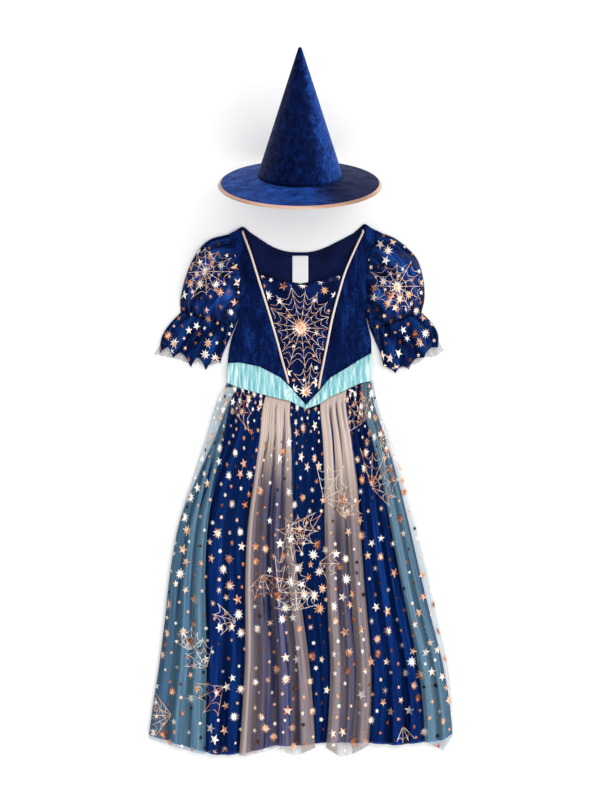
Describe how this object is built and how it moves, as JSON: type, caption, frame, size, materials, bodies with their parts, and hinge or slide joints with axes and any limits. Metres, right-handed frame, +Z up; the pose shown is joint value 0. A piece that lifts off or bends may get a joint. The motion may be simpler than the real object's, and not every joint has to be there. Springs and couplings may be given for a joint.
{
  "type": "child's witch costume with long dress and pointed hat, laid flat",
  "caption": "Laid-flat witch costume: navy dress with puff sleeves, aqua V waistband and net over a foil-printed skirt, and a pointed velvet hat.",
  "frame": {"origin": "on the flat underside, on the dress's middle line at the waist", "axes": "+X to the viewer's right, +Y from the hem to the neck and on to the hat's tip, +Z up from the surface that the costume lies on"},
  "size_m": [0.5768, 1.3197, 0.2863],
  "materials": {
    "velvet": "crushed velvet, dark navy with royal blue where the nap turns",
    "rose_gold_satin": "satin tape and piping, rose gold",
    "navy_satin": "polyester satin, navy",
    "navy_jersey": "matte brushed jersey, navy",
    "printed_mesh": "navy mesh with rose gold foil print",
    "pink_net": "soft tulle, dusty pink",
    "aqua_net": "soft tulle, aqua",
    "aqua_satin": "gathered satin, aqua with a pearly sheen",
    "grey_net": "soft tulle, grey",
    "label_tape": "woven label tape, white and blank"
  },
  "bodies": {
    "root": {"hat_crown": "velvet", "hat_brim": "velvet", "hat_binding": "rose_gold_satin", "bodice_back": "navy_jersey", "bodice_front_left": "velvet", "bodice_front_right": "velvet", "bodice_centre": "printed_mesh", "piping_left": "rose_gold_satin", "piping_right": "rose_gold_satin", "waistband_left": "aqua_satin", "waistband_right": "aqua_satin", "care_label": "label_tape", "sleeve_left": "printed_mesh", "sleeve_right": "printed_mesh", "frill_left": "printed_mesh", "frill_right": "printed_mesh", "frill_net_left": "grey_net", "frill_net_right": "grey_net", "skirt_back": "navy_satin", "skirt_front": "navy_satin", "skirt_print": "printed_mesh", "tulle_pink_left": "pink_net", "tulle_pink_right": "pink_net", "tulle_aqua_left": "aqua_net", "tulle_aqua_right": "aqua_net"}
  },
  "joints": []
}
